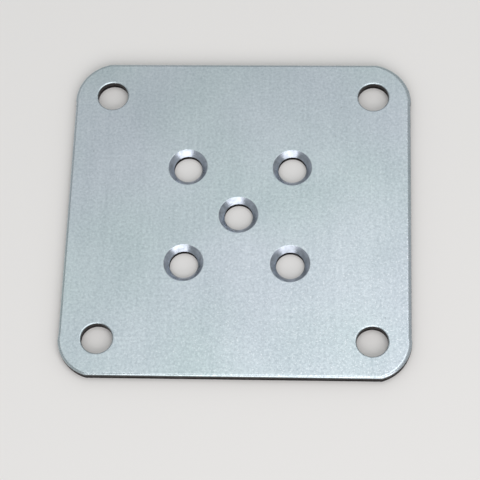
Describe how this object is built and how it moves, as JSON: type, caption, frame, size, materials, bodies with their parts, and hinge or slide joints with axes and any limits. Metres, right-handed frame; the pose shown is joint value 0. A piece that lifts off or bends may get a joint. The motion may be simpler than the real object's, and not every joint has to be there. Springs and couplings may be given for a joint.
{
  "type": "square mounting plate",
  "caption": "Square sheet-steel mounting plate with rounded corners, plain bolt holes at the corners and countersunk screw holes in the middle.",
  "frame": {"origin": "centre of the back face, which the plate lies on", "axes": "+Z out of the countersunk front face; X and Y parallel to the edges, X between the two sheared sides"},
  "size_m": [0.1002, 0.1, 0.003],
  "materials": {
    "zinc_plated_steel": "satin bright zinc plating, cool bluish grey"
  },
  "bodies": {
    "root": {"plate": "zinc_plated_steel"}
  },
  "joints": []
}
